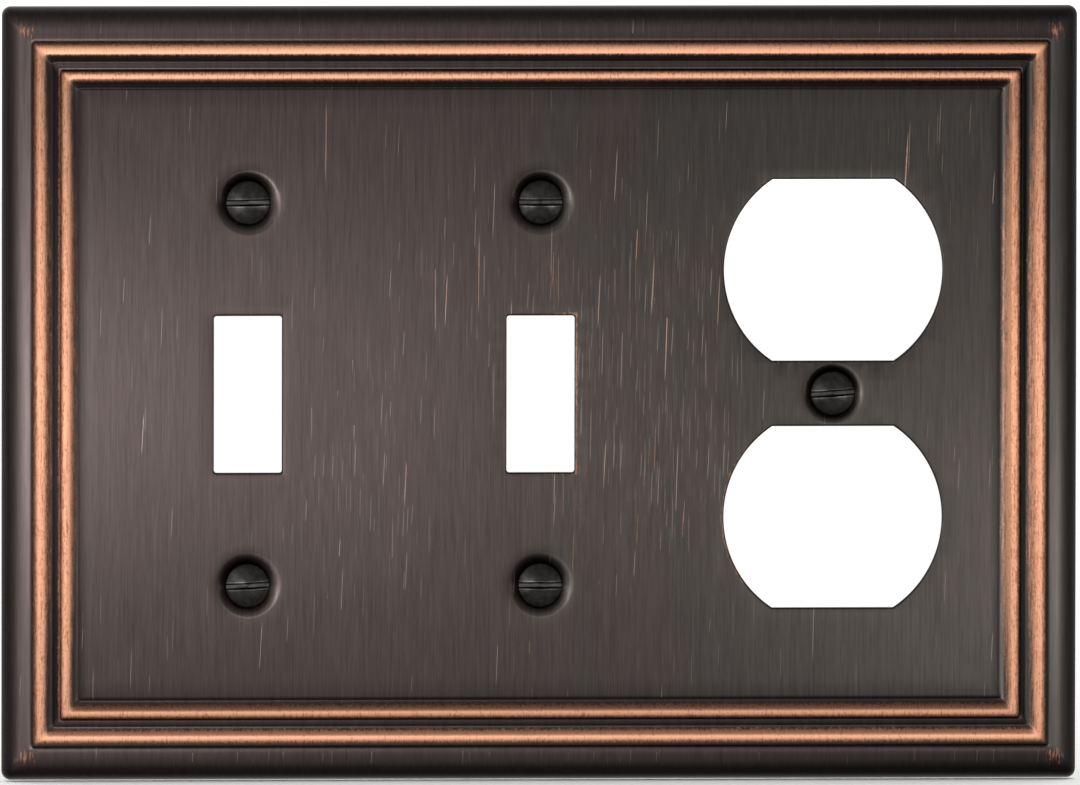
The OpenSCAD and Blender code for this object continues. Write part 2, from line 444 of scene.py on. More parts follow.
class Nodes:
    """Short names for building a material's nodes. Values may be sockets or numbers."""

    def __init__(self, name):
        self.material = bpy.data.materials.new(name)
        self.material.use_nodes = True
        self.tree = self.material.node_tree
        self.shader = self.tree.nodes["Principled BSDF"]

    def put(self, socket, value):
        if isinstance(value, bpy.types.NodeSocket):
            self.tree.links.new(value, socket)
        elif socket.type == "RGBA" and len(value) == 3:
            socket.default_value = (*value, 1)
        else:
            socket.default_value = value

    def add(self, kind, *inputs, out=0, **settings):
        node = self.tree.nodes.new(kind)
        for key, value in settings.items():
            setattr(node, key, value)
        for i, value in enumerate(inputs):
            if value is not None:
                self.put(node.inputs[i], value)
        return node.outputs[out]

    def math(self, operation, a, b=None):
        return self.add("ShaderNodeMath", a, b, operation=operation)

    def times(self, a, b):
        return self.math("MULTIPLY", a, b)

    def plus(self, a, b):
        return self.math("ADD", a, b)

    def minus(self, a, b):
        return self.math("SUBTRACT", a, b)

    def over(self, a, b):
        return self.math("DIVIDE", a, b)

    def least(self, a, b):
        return self.math("MINIMUM", a, b)

    def most(self, first, *others):
        for value in others:
            first = self.math("MAXIMUM", first, value)
        return first

    def size(self, a):
        return self.math("ABSOLUTE", a)

    def rest(self, share):
        """What a share leaves of 1."""
        return self.minus(1.0, share)

    def partly(self, share, factor):
        """1 where the share is 0, and the factor where it is 1."""
        return self.plus(1.0, self.times(share, self.minus(factor, 1.0)))

    def smooth(self, value, low, high, to_low=0.0, to_high=1.0):
        """Smooth step of a value from low to high."""
        return self.add("ShaderNodeMapRange", value, low, high, to_low, to_high,
                        interpolation_type="SMOOTHSTEP")

    def vector(self, x, y, z):
        return self.add("ShaderNodeCombineXYZ", x, y, z)

    def split(self, vector):
        node = self.tree.nodes.new("ShaderNodeSeparateXYZ")
        self.put(node.inputs[0], vector)
        return node.outputs

    def scaled(self, vector, factors):
        return self.add("ShaderNodeVectorMath", vector, factors, operation="MULTIPLY")

    def length(self, x, z):
        return self.add("ShaderNodeVectorMath", self.vector(x, z, 0.0), operation="LENGTH", out=1)

    def place(self):
        """The point, in millimetres along the frame's axes, that moves with its piece."""
        return self.scaled(self.add("ShaderNodeTexCoord", out=3), (1 / MM, 1 / MM, 1 / MM))

    def noise(self, place, kind):
        node = self.tree.nodes.new("ShaderNodeTexNoise")
        node.noise_dimensions = "4D"
        self.put(node.inputs["Vector"], self.scaled(place, kind.stretch))
        node.inputs["W"].default_value = kind.seed
        node.inputs["Scale"].default_value = 1.0
        node.inputs["Detail"].default_value = kind.detail
        node.inputs["Roughness"].default_value = kind.roughness
        return node.outputs["Fac"]

    def swing(self, noise, amount):
        """A noise, moved to swing about 0."""
        return self.times(self.minus(noise, 0.5), amount)

    def mix(self, factor, a, b):
        node = self.tree.nodes.new("ShaderNodeMix")
        node.data_type = "RGBA"
        self.put(node.inputs["Factor"], factor)
        self.put(node.inputs[6], a)
        self.put(node.inputs[7], b)
        return node.outputs[2]

    def shaded(self, colour, shade):
        return self.scaled(colour, self.vector(shade, shade, shade))

    def curve(self, value, points):
        """Straight lines through (value, result) points."""
        low = points[0][0]
        high = points[-1][0]
        most = max(1.0, max(y for _, y in points))
        node = self.tree.nodes.new("ShaderNodeFloatCurve")
        place = self.add("ShaderNodeMapRange", value, low, high, 0.0, 1.0)
        self.put(node.inputs["Value"], place)
        marks = [((x - low) / (high - low), y / most) for x, y in points]
        draw_curve(node.mapping, marks, straight=True)
        return self.times(node.outputs[0], most)

    def bump(self, height, depth_mm):
        node = self.tree.nodes.new("ShaderNodeBump")
        node.inputs["Strength"].default_value = 0.5
        node.inputs["Distance"].default_value = depth_mm * MM
        self.put(node.inputs["Height"], height)
        return node.outputs[0]

    def set(self, **values):
        for key, value in values.items():
            self.put(self.shader.inputs[key.replace("_", " ")], value)


def box_distance(n, x, z, half_w, half_h):
    """Distance outside a rectangle round the middle."""
    qx = n.minus(n.size(x), half_w)
    qz = n.minus(n.size(z), half_h)
    return n.plus(n.length(n.most(qx, 0.0), n.most(qz, 0.0)), n.least(n.most(qx, qz), 0.0))


def round_distance(n, x, z, centre):
    return n.length(n.minus(x, centre[0]), n.minus(z, centre[1]))


# ---- where things are on the face

# How far past the mitre the top's and bottom's wear turns into the sides' wear
MITRE_BLEND = (-0.7, 1.1)
# How much further in than at the left the wear lies: at the right, at the bottom's outer and
# inner beads, and at both the top and bottom
RIGHT_DRIFT = 0.42
LOWER_DRIFT = (0.62, 0.25)
END_DRIFT = -0.1
BETWEEN_BEADS = (3.0, 4.0)


class Face:
    """Where a point lies on the plate's face, as sockets that the bronze's layers share."""

    def __init__(self, n):
        self.n = n
        self.place = n.place()
        self.x, _, self.z = n.split(self.place)
        self.from_side = n.minus(PLATE_W / 2, n.size(self.x))
        self.from_end = n.minus(PLATE_H / 2, n.size(self.z))
        from_side_crown = n.minus(self.from_side, SIDE_CROWN)
        from_end_crown = n.minus(self.from_end, END_CROWN)
        self.sides = n.smooth(n.minus(from_end_crown, from_side_crown), *MITRE_BLEND)
        self.ends = n.rest(self.sides)
        self.at_right = n.math("GREATER_THAN", self.x, 0.0)
        self.below = n.math("LESS_THAN", self.z, 0.0)
        self.inwards = n.least(from_side_crown, from_end_crown)
        self.section = n.minus(self.inwards, self.drift())
        self.on_panel = n.smooth(self.inwards, MOULDING, MOULDING + 0.3)
        self.moulded_ends = n.times(self.ends, n.rest(self.on_panel))

    def by_side(self, at_sides, at_ends):
        """One value along the left and right, and another along the top and bottom."""
        n = self.n
        return n.plus(n.times(self.sides, at_sides), n.times(self.ends, at_ends))

    def drift(self):
        """How much further in than at the left each part of the moulding is worn."""
        n = self.n
        lower = n.times(self.below, n.smooth(self.inwards, *BETWEEN_BEADS, *LOWER_DRIFT))
        return self.by_side(n.times(self.at_right, RIGHT_DRIFT), n.plus(lower, END_DRIFT))

    def noise(self, kind):
        return self.n.noise(self.place, kind)

    def spot(self, centre, half_w, half_h):
        """1 at the centre of an ellipse, falling smoothly to 0 at its edge."""
        n = self.n
        far = n.length(n.over(n.minus(self.x, centre[0]), half_w),
                       n.over(n.minus(self.z, centre[1]), half_h))
        return n.rest(n.smooth(far, 0.0, 1.0))

    def gathered(self, spots):
        n = self.n
        return n.most(*[n.times(self.spot(centre, w, h), strength)
                        for centre, w, h, strength in spots])

    def dimple(self):
        """Distance from the nearest screw in dimple radii, and how far the place lies to the
        upper right and to the lower right of it, from -1 to 1."""
        n = self.n
        column = n.times(n.math("ROUND", n.over(self.x, GANG_PITCH)), GANG_PITCH)
        dx = n.minus(self.x, column)
        on_receptacle = n.math("GREATER_THAN", self.x, GANG_PITCH / 2)
        dz_switch = n.times(n.minus(n.size(self.z), SWITCH_SCREW_PITCH / 2),
                            n.math("SIGN", self.z))
        dz = n.plus(n.times(on_receptacle, self.z), n.times(n.rest(on_receptacle), dz_switch))
        far = n.length(dx, dz)
        radius = n.plus(SWITCH_DIMPLE_R,
                        n.times(on_receptacle, RECEPTACLE_DIMPLE_R - SWITCH_DIMPLE_R))
        far_enough = n.most(far, 0.1)
        up = n.over(n.plus(n.times(dx, 0.85), n.times(dz, 0.5)), far_enough)
        down = n.over(n.minus(n.times(dx, 0.75), n.times(dz, 0.65)), far_enough)
        return n.over(far, radius), up, down


# ---- where copper shows

# Distances inwards from the crease where each bead's copper begins and ends: from 0 to 1 over
# the first two, and from 1 to 0 over the last two
END_WEAR = ((0.05, 0.6, 1.95, 2.55), (4.65, 5.2, 6.0, 6.8))
SIDE_WEAR = ((0.0, 0.5, 1.9, 3.1), (4.1, 4.75, 5.8, 7.1))
# How much further out it begins and further in it ends along the bottom, at both beads and,
# on top of that, at the inner bead
LOWER_START, LOWER_INNER_START = 0.05, 0.25
LOWER_END, LOWER_INNER_END = 0.15, 0.15
# Along the sides it ends further in, less a share that grows between two heights
SIDE_END = 0.24
NARROWING_HEIGHTS, NARROWING = (22.0, 52.0), 0.65
WEAR_GRAIN = Noise((3.0, 2.0, 2.4), 3, 0.65, 2)
WEAR_COMB = Noise((4.0, 2.0, 0.35), 3, 0.6, 3)

# A tuft of copper on each outer corner: its place and half size from the side and the end
CORNER_AT, CORNER_SIZE = (3.4, 3.8), (2.4, 2.1)
CORNER_TUFT = Noise((4.2, 0.3, 0.5), 3, 0.65, 6)

EDGE_GRAIN = Noise((2.6, 1.0, 0.9), 3, 0.65, 7)

# Where copper shows in the brushed panel's scratches: centre, half width and height, strength
COPPER_SPOTS = (
    ((2.0, 18.0), 3.5, 11.0, 1.0),
    ((18.0, 18.0), 7.0, 15.0, 0.6),
    ((5.5, -17.0), 4.5, 15.0, 1.0),
    ((17.0, -14.0), 9.0, 24.0, 0.75),
    ((24.5, -18.0), 4.0, 12.0, 0.7),
    ((-34.0, -15.0), 3.5, 12.0, 0.5),
    ((-1.0, -40.0), 4.0, 6.0, 0.8),
)
BLUSH = Noise((1.6, 1.0, 0.2), 4, 0.7, 12)


def bead_wear(face):
    """How far the beads are rubbed down to copper, with ragged edges. It reaches less far in
    towards the corners, and covers more of the inner bead along the bottom."""
    n = face.n
    grain = face.noise(WEAR_GRAIN)
    comb = n.swing(face.noise(WEAR_COMB), 1.0)
    near_corner = n.times(n.smooth(n.size(face.z), *NARROWING_HEIGHTS), NARROWING)
    lower_inner = n.times(face.below, n.smooth(face.section, 3.4, 3.8))
    start = face.by_side(0.0, n.plus(n.times(face.below, LOWER_START),
                                     n.times(lower_inner, LOWER_INNER_START)))
    end = face.by_side(n.minus(SIDE_END, near_corner),
                       n.plus(n.times(face.below, LOWER_END),
                              n.times(lower_inner, LOWER_INNER_END)))
    start = n.plus(n.plus(face.section, start), n.swing(grain, 0.8))
    end = n.plus(n.minus(face.section, end), n.swing(grain, 0.9))
    end = n.plus(end, n.times(comb, n.plus(0.9, n.times(face.sides, 0.6))))

    def band(begins, full, fades, ends):
        return n.times(n.smooth(start, begins, full), n.smooth(end, fades, ends, 1.0, 0.0))

    return face.by_side(n.most(band(*SIDE_WEAR[0]), band(*SIDE_WEAR[1])),
                        n.most(band(*END_WEAR[0]), band(*END_WEAR[1])))


def corner_wear(face):
    """Short upright strokes of copper on the outer corners."""
    n = face.n
    far = n.length(n.over(n.minus(face.from_side, CORNER_AT[0]), CORNER_SIZE[0]),
                   n.over(n.minus(face.from_end, CORNER_AT[1]), CORNER_SIZE[1]))
    tuft = n.swing(face.noise(CORNER_TUFT), 4.2)
    strokes = n.smooth(n.plus(n.minus(0.7, far), tuft), 0.2, 1.0)
    return n.times(n.times(strokes, n.rest(n.smooth(far, 0.6, 1.2))), 0.8)


def receptacle_rim(face, side):
    """1 at the edge of the upper (1) or lower (-1) receptacle opening, 0 a little way off."""
    n = face.n
    z = side * RECEPTACLE_PITCH / 2
    off = n.minus(round_distance(n, face.x, face.z, (GANG_PITCH, z)), RECEPTACLE_R)
    off = n.most(off, n.minus(n.size(n.minus(face.z, z)), RECEPTACLE_H / 2))
    return n.rest(n.smooth(off, 0.1, 1.0))


def opening_wear(face):
    """Copper on the rubbed edges of the middle toggle opening and the receptacle openings."""
    n = face.n
    off_toggle = box_distance(n, face.x, face.z, TOGGLE_W / 2, TOGGLE_H / 2)
    right_of_toggle = n.smooth(face.x, -6.0, 5.0)
    left_of_lower = n.rest(n.smooth(face.x, 29.0, 42.0))
    under_upper = n.rest(n.smooth(face.z, 4.0, 9.0))
    edges = n.most(n.times(n.rest(n.smooth(off_toggle, 0.1, 1.1)), right_of_toggle),
                   n.times(receptacle_rim(face, -1), left_of_lower),
                   n.times(n.times(receptacle_rim(face, 1), under_upper), 0.7))
    grain = n.swing(face.noise(EDGE_GRAIN), 2.6)
    return n.times(n.smooth(n.plus(edges, grain), 0.55, 1.35), 0.28)


def blush(face):
    """A faint warmth of copper between the brush lines, where the scratches are."""
    n = face.n
    patches = n.smooth(face.noise(BLUSH), 0.45, 0.75, 0.0, 0.07)
    return n.times(n.times(face.gathered(COPPER_SPOTS), face.on_panel), patches)


# ---- scratches

# Cell size in mm, width in mm, share of the cells filled, and a seed
Scratches = namedtuple("Scratches", "cell_w cell_h width share seed")
LONG_LINES = Scratches(2.4, 20.0, 0.15, 0.5, 3.1)
SHORT_LINES = Scratches(1.2, 14.0, 0.13, 0.7, 8.7)
THIN_LINES = Scratches(0.7, 9.0, 0.11, 0.85, 5.9)
RED_LINES = Scratches(0.9, 15.0, 0.14, 0.7, 1.3)
# The least slope, how far it ranges above that, and the longest half length over the cell's
LEAN_LOW, LEAN_RANGE = -0.005, 0.06
REACH = 0.36

# Where the panel is scratched: centre, half width and height, strength
SCRATCHED_SPOTS = (
    ((16.0, 4.0), 26.0, 44.0, 1.0),
    ((-12.0, 14.0), 16.0, 24.0, 0.6),
    ((-28.0, -16.0), 18.0, 28.0, 0.75),
)
# The share that is scratched outside the spots, and the weights of panel and moulding
SCATTER = 0.07
PANEL_SCRATCHED, MOULDING_SCRATCHED = 0.8, 0.1
# The same for the top's and bottom's crown, by distance inwards from the crease
TICKED = ((-6, 0), (-3.4, 0), (-2.6, 1), (-1.3, 1), (-0.9, 0), (9, 0))
TICKED_SHARE = 0.22


def scratches(face, kind, where):
    """Fine, nearly upright scratches, one in each filled cell of a field. The share of cells
    filled follows where, from 0 to 1. Gives the scratches, and a random value for each."""
    n = face.n
    place = n.vector(n.plus(n.over(face.x, kind.cell_w), kind.seed),
                     n.plus(n.over(face.z, kind.cell_h), kind.seed * 1.7), 0.0)
    cells = n.tree.nodes.new("ShaderNodeTexVoronoi")
    cells.voronoi_dimensions = "2D"
    n.put(cells.inputs["Vector"], place)
    cells.inputs["Scale"].default_value = 1.0
    offset = n.add("ShaderNodeVectorMath", place, cells.outputs["Position"],
                   operation="SUBTRACT")
    du, dw, _ = n.split(offset)
    dice, lean, size = n.split(cells.outputs["Color"])
    dx = n.times(du, kind.cell_w)
    dz = n.times(dw, kind.cell_h)
    slope = n.plus(n.times(lean, LEAN_RANGE), LEAN_LOW)
    across = n.size(n.minus(dx, n.times(slope, dz)))
    half_width = n.times(n.plus(size, 0.7), kind.width / 2)
    half_length = n.times(n.plus(n.times(size, 0.6), 0.4), kind.cell_h * REACH)
    line = n.rest(n.smooth(n.over(across, half_width), 0.2, 1.0))
    body = n.rest(n.smooth(n.over(n.size(dz), half_length), 0.5, 1.0))
    present = n.math("LESS_THAN", dice, n.times(where, kind.share))
    strength = n.plus(n.times(n.times(lean, lean), 0.7), 0.3)
    return n.times(n.times(line, body), n.times(present, strength)), size


def scratch_layers(face):
    """The scratches that go down to copper, and the pale ones."""
    n = face.n
    where = n.most(face.gathered(SCRATCHED_SPOTS), SCATTER)
    where = n.times(where, n.plus(n.times(face.on_panel, PANEL_SCRATCHED), MOULDING_SCRATCHED))
    ticked = n.times(n.curve(face.section, TICKED), face.ends)
    where = n.most(where, n.times(ticked, TICKED_SHARE))
    long_lines, long_kind = scratches(face, LONG_LINES, where)
    short_lines, short_kind = scratches(face, SHORT_LINES, where)
    thin_lines, _ = scratches(face, THIN_LINES, where)
    red_lines, _ = scratches(face, RED_LINES, face.gathered(COPPER_SPOTS))
    red_long = n.times(long_lines, n.math("GREATER_THAN", long_kind, 0.85))
    red_short = n.times(short_lines, n.math("GREATER_THAN", short_kind, 0.8))
    coppery = n.most(n.times(red_lines, 0.45), n.times(red_long, 0.35), n.times(red_short, 0.2))
    pale = n.most(n.times(long_lines, 0.9), n.times(short_lines, 0.65),
                  n.times(thin_lines, 0.5))
    return coppery, pale


# ---- patina, and the painted light and shade on it

FINE_BRUSH = Noise((4.5, 1.0, 0.16), 3, 0.65, 0)
MAIN_BRUSH = Noise((2.4, 1.0, 0.07), 4, 0.7, 4)
BROAD_BRUSH = Noise((0.5, 1.0, 0.02), 3, 0.6, 5)
CLOUDS = Noise((0.1, 0.1, 0.04), 3, 0.5, 20)

BROWN = (0.0578, 0.0450, 0.0425)
GREY = (0.0518, 0.0457, 0.0415)
END_BROWN = (0.0585, 0.0440, 0.0425)
PALE = (0.35, 0.29, 0.255)

# Distance inwards from the crease, against the brightness of the patina: painted light and shade
# across the moulding's section, by how each slope faces the lamps
END_PATINA_LIGHT = (
    (-6, 1.25), (-3.4, 1.3), (-2.3, 1.2), (-1.6, 1.12), (-1.2, 1), (-0.8, 0.85),
    (-0.45, 0.62), (-0.2, 0.55), (0.1, 1.6), (0.4, 1.6), (2.6, 1.4), (2.9, 1.1), (3.25, 0.3),
    (3.5, 0.5), (3.9, 0.95), (4.2, 0.65), (4.5, 1.4), (4.8, 0.9), (6.3, 1.5), (6.7, 2.4),
    (7.05, 2.0), (7.35, 0.45), (7.7, 0.25), (7.95, 0.6), (8.1, 0.74), (9, 0.76))
SIDE_PATINA_LIGHT = (
    (-6, 1), (-1.6, 1.0), (-1.0, 1.1), (-0.6, 1.4), (-0.3, 1.75), (0.0, 1.3), (0.3, 0.9),
    (2.4, 1.0), (2.8, 0.8), (3.2, 0.45), (3.5, 0.08), (3.85, 0.15), (4.2, 0.15), (4.6, 0.35),
    (6.0, 1.2), (6.6, 1.7), (7.0, 1.5), (7.2, 0.9), (7.4, 0.42), (7.55, 0.25), (7.9, 0.42),
    (8.2, 0.5), (9, 0.72))
# Distance inwards from the crease, against a painted highlight in the bottom's crease, where it
# faces up to the light, and its strength
LOWER_CREASE_HIGHLIGHT = ((-6, 0), (-0.65, 0), (-0.3, 1), (0.3, 1), (0.5, 0), (9, 0))
LOWER_CREASE_HIGHLIGHT_GAIN = 2.4

# Position across the plate, against the painted light on the moulding's top and bottom, which
# lie further from the light towards the right, and on the panel; and how much darker the bottom's
# moulding is
ENDS_LIGHT_ACROSS = ((-85, 1.3), (-20, 1.05), (20, 0.95), (85, 0.7))
PANEL_LIGHT_ACROSS = ((-85, 1), (-25, 1), (0, 0.95), (18, 0.93), (45, 1), (75, 1.14), (85, 1.14))
BOTTOM_DULLER = 0.28

# Share of a dimple's radius, against the strength of the painted highlight on its rim and of the
# painted shade in its dish
DIMPLE_RIM_HIGHLIGHT = ((0, 0), (0.87, 0), (0.93, 1), (0.97, 1), (1.04, 0.1), (1.2, 0), (2, 0))
DIMPLE_DISH_SHADE = ((0, 1), (0.8, 1), (0.95, 0.7), (1.1, 0.3), (1.3, 0), (2, 0))


def patina_hue(face):
    """Brown, in faint upright clouds, and greyer towards the right."""
    n = face.n
    to_grey = n.plus(n.times(face.noise(CLOUDS), 0.6), n.times(face.x, 0.006))
    hue = n.mix(n.smooth(to_grey, 0.2, 0.42), BROWN, GREY)
    return n.mix(n.times(face.moulded_ends, 0.8), hue, END_BROWN)


def patina_light_and_shade(face):
    """Painted light and shade on the patina, across the moulding's section and along the plate.
    """
    n = face.n
    lit_patina = face.by_side(n.curve(face.section, SIDE_PATINA_LIGHT), n.curve(face.section, END_PATINA_LIGHT))
    # Painted light across the top and bottom, and darker along the bottom
    along = n.times(n.curve(face.x, ENDS_LIGHT_ACROSS), n.rest(n.times(face.below, BOTTOM_DULLER)))
    lit_patina = n.times(lit_patina, n.partly(face.moulded_ends, along))
    # A painted highlight in the bottom's crease
    crease = n.times(n.times(n.curve(face.section, LOWER_CREASE_HIGHLIGHT), face.below), face.ends)
    lit_patina = n.times(lit_patina, n.plus(1.0, n.times(crease, LOWER_CREASE_HIGHLIGHT_GAIN)))
    return n.times(lit_patina, n.partly(face.on_panel, n.curve(face.x, PANEL_LIGHT_ACROSS)))


def dimple_shade(face):
    """Painted light and shade in a dimple: a painted shadow at its upper left and a painted
    highlight along its upper right rim.
    """
    n = face.n
    dimple, to_upper_right, to_lower_right = face.dimple()
    rim_highlight = n.times(n.smooth(to_upper_right, 0.1, 0.95), 0.7)
    # Painted light on the dish's lower right and painted shadow at its upper left
    light = n.smooth(to_lower_right, -0.9, 0.7, -0.75, 0.3)
    return n.times(n.plus(1.0, n.times(n.curve(dimple, DIMPLE_RIM_HIGHLIGHT), rim_highlight)),
                   n.plus(1.0, n.times(n.curve(dimple, DIMPLE_DISH_SHADE), light)))


def patina_colour(face, fine, brushed, pale):
    n = face.n
    lines = n.plus(n.swing(fine, 0.75), n.swing(brushed, 0.8))
    lines = n.plus(lines, n.swing(face.noise(BROAD_BRUSH), 0.3))
    shade = n.times(n.times(patina_light_and_shade(face), dimple_shade(face)), n.plus(lines, 1.0))
    return n.mix(n.times(pale, 0.55), n.shaded(patina_hue(face), shade), PALE)


# ---- copper and bronze

COPPER_SPECKLE = Noise((3.0, 2.0, 1.8), 4, 0.75, 30)
COPPER_STRANDS = Noise((4.0, 2.0, 0.4), 3, 0.7, 31)
DARK_COPPER = (0.52, 0.215, 0.125)
BRIGHT_COPPER = (0.95, 0.485, 0.30)

# Distance inwards from the crease, against the brightness of the copper: painted light and shade
# across the beads
END_COPPER_LIGHT = (
    (-6, 0.6), (-1, 0.6), (0, 0.3), (0.35, 0.42), (0.9, 0.85), (1.2, 0.92), (2.0, 0.92),
    (2.6, 0.6), (3.2, 0.5), (4.7, 0.3), (5.0, 0.5), (5.4, 0.8), (6.0, 0.85), (6.6, 0.8),
    (9, 0.7))
SIDE_COPPER_LIGHT = (
    (-6, 0.6), (-1, 0.6), (0, 0.4), (0.4, 0.55), (0.9, 0.8), (1.25, 0.8), (1.6, 0.74),
    (1.95, 0.8), (2.3, 0.76), (2.6, 0.58), (3.2, 0.45), (4.4, 0.45), (4.9, 0.75),
    (5.35, 0.78), (5.7, 0.76), (6.0, 0.95), (6.3, 0.98), (6.6, 0.8), (7.3, 0.6), (9, 0.7))
# Height on the plate, against the painted light on the sides' copper
SIDE_COPPER_LIGHT_UP = ((-61, 0.7), (-40, 0.85), (0, 1), (22, 0.83), (45, 0.56), (61, 0.45))
# How much of the painted light the left's copper keeps, the painted shade on the bottom's copper
# and on its inner bead, and how far the painted light on the bottom's inner bead is moved
LEFT_COPPER_LIGHT = 0.88
LOWER_COPPER_SHADE, LOWER_INNER_COPPER_SHADE = 0.16, 0.15
LOWER_INNER_LIGHT_SHIFT = 0.35


def copper_colour(face):
    """Copper, smooth on the crests and mottled down their inner sides, with painted light and
    shade across and along the beads. Gives its mottle too.
    """
    n = face.n
    lower_inner = n.times(face.below, n.smooth(face.section, 3.4, 4.2))
    shifted = n.plus(face.section, n.times(lower_inner, LOWER_INNER_LIGHT_SHIFT))
    crest_light = face.by_side(n.curve(face.section, SIDE_COPPER_LIGHT), n.curve(shifted, END_COPPER_LIGHT))
    mottle = n.plus(n.swing(face.noise(COPPER_SPECKLE), 0.75),
                    n.swing(face.noise(COPPER_STRANDS), 0.75))
    mottle = n.plus(n.plus(mottle, 0.5), n.smooth(crest_light, 0.65, 0.9, -0.02, 0.12))
    mottle = n.smooth(mottle, 0.38, 0.6)
    side_light_up = n.times(n.curve(face.z, SIDE_COPPER_LIGHT_UP),
                       n.plus(LEFT_COPPER_LIGHT, n.times(face.at_right, 1 - LEFT_COPPER_LIGHT)))
    lower_copper_shade = n.plus(n.times(face.below, LOWER_COPPER_SHADE),
                    n.times(lower_inner, LOWER_INNER_COPPER_SHADE))
    # Painted light and shade on the copper
    glow = n.times(crest_light, face.by_side(side_light_up, n.rest(lower_copper_shade)))
    return n.shaded(n.mix(mottle, DARK_COPPER, BRIGHT_COPPER), glow), mottle


def bronze_material():
    """Dark aged bronze, brushed upright, with copper worn through, and painted light and shade
    over its patina and copper.
    """
    n = Nodes("aged_bronze")
    face = Face(n)
    fine = face.noise(FINE_BRUSH)
    brushed = face.noise(MAIN_BRUSH)
    coppery, pale = scratch_layers(face)
    copper, mottle = copper_colour(face)
    worn = n.most(bead_wear(face), corner_wear(face), opening_wear(face), coppery, blush(face))
    colour = n.mix(worn, patina_colour(face, fine, brushed, pale), copper)
    height = n.plus(n.times(fine, 0.6), n.times(brushed, 0.4))
    height = n.minus(height, n.times(n.most(coppery, pale), 0.4))
    height = n.plus(height, n.times(n.times(mottle, worn), 0.3))
    rough = n.plus(n.plus(0.36, n.swing(brushed, 0.1)), n.times(worn, 0.2))
    n.set(Base_Color=colour, Metallic=1.0, Roughness=rough,
          Anisotropic=n.minus(0.78, n.times(worn, 0.4)), Tangent=n.vector(1.0, 0.0, 0.0),
          Normal=n.bump(height, 0.014))
    return n.material


# ---- the other materials

BACK_MOTTLE = Noise((0.12, 0.12, 0.12), 5, 0.6, 1)
BACK_SPECK = Noise((3.0, 3.0, 3.0), 3, 0.5, 2)
BACK_DRAG = Noise((1.6, 1.0, 0.08), 3, 0.5, 3)
BACK_DARK = (0.075, 0.062, 0.055)
BACK_LIGHT = (0.125, 0.098, 0.082)
BACK_RUST = (0.2, 0.14, 0.105)

# Rings round the screw's axis, by its radius in mm
TURNING = Noise((9.0, 1.0, 1.0), 3, 0.6, 1)
SCREW_MOTTLE = Noise((1.1, 1.1, 1.1), 4, 0.5, 2)
SCREW_SPECK = Noise((8.0, 8.0, 8.0), 2, 0.5, 3)
SCREW_DARK = (0.023, 0.022, 0.021)
SCREW_LIGHT = (0.038, 0.036, 0.034)
# Distance from the middle of the slot, against the brightness of the head: painted light on the
# slot's floor, painted shadow on its walls and a painted highlight on its lips
SLOT_LIGHT_AND_SHADE = ((0, 1.3), (0.2, 1.1), (0.29, 0.25), (0.5, 0.3), (0.555, 1.6), (0.64, 2.6),
              (0.74, 1.1), (0.9, 1), (4, 1))

FLOOR_GRAIN = Noise((0.06, 0.06, 0.06), 3, 0.5, 0)


def back_material():
    """The unbrushed back of the sheet, with a dull mottled coat."""
    n = Nodes("bronze_back")
    place = n.place()
    speck = n.noise(place, BACK_SPECK)
    drag = n.noise(place, BACK_DRAG)
    colour = n.mix(n.smooth(n.noise(place, BACK_MOTTLE), 0.35, 0.65), BACK_DARK, BACK_LIGHT)
    colour = n.mix(n.smooth(speck, 0.6, 0.8, 0.0, 0.35), colour, BACK_RUST)
    height = n.plus(n.times(speck, 0.5), n.times(drag, 0.5))
    n.set(Base_Color=colour, Metallic=0.9, Roughness=n.plus(0.5, n.swing(drag, 0.25)),
          Normal=n.bump(height, 0.015))
    return n.material


def screw_material(node, centre):
    """Satin black, turned round the screw's own axis, with painted light and shadow in the slot,
    a painted highlight on its lips and painted shade round the head's edge.
    """
    n = Nodes("black_screw")
    place = n.place()
    x, y, z = n.split(place)
    r = round_distance(n, x, z, centre)
    turn = math.radians(SLOT_TURNS[node])
    from_slot = n.size(n.plus(n.times(n.minus(x, centre[0]), -math.sin(turn)),
                              n.times(n.minus(z, centre[1]), math.cos(turn))))
    on_head = n.math("LESS_THAN", y, -HEAD_EDGE_H)
    turning = n.noise(n.vector(r, 0.0, 0.0), TURNING)
    speck = n.noise(place, SCREW_SPECK)

    colour = n.mix(n.smooth(n.noise(place, SCREW_MOTTLE), 0.35, 0.65), SCREW_DARK, SCREW_LIGHT)
    # Painted shade round the head's edge
    rim = n.smooth(r, HEAD_R - 0.14, HEAD_R - 0.02, 1.0, 0.3)
    shade = n.times(n.partly(on_head, n.curve(from_slot, SLOT_LIGHT_AND_SHADE)), rim)
    shade = n.times(shade, n.plus(n.swing(turning, 0.6), 1.0))
    rough = n.plus(n.plus(0.36, n.swing(turning, 0.15)), n.swing(speck, 0.1))
    height = n.plus(n.times(turning, 0.6), n.times(speck, 0.4))
    n.set(Base_Color=n.shaded(colour, shade), Metallic=1.0, Roughness=rough, Anisotropic=0.75,
          Anisotropic_Rotation=0.25, Normal=n.bump(height, 0.01),
          Tangent=n.add("ShaderNodeTangent", direction_type="RADIAL", axis="Y"))
    return n.material


def floor_material():
    n = Nodes("floor_paint")
    colour = n.mix(n.noise(n.place(), FLOOR_GRAIN), (0.83, 0.83, 0.83), (0.87, 0.87, 0.87))
    n.set(Base_Color=colour, Roughness=0.8)
    return n.material


# ---- pieces


def link(name, data):
    thing = bpy.data.objects.new(name, data)
    bpy.context.scene.collection.objects.link(thing)
    return thing


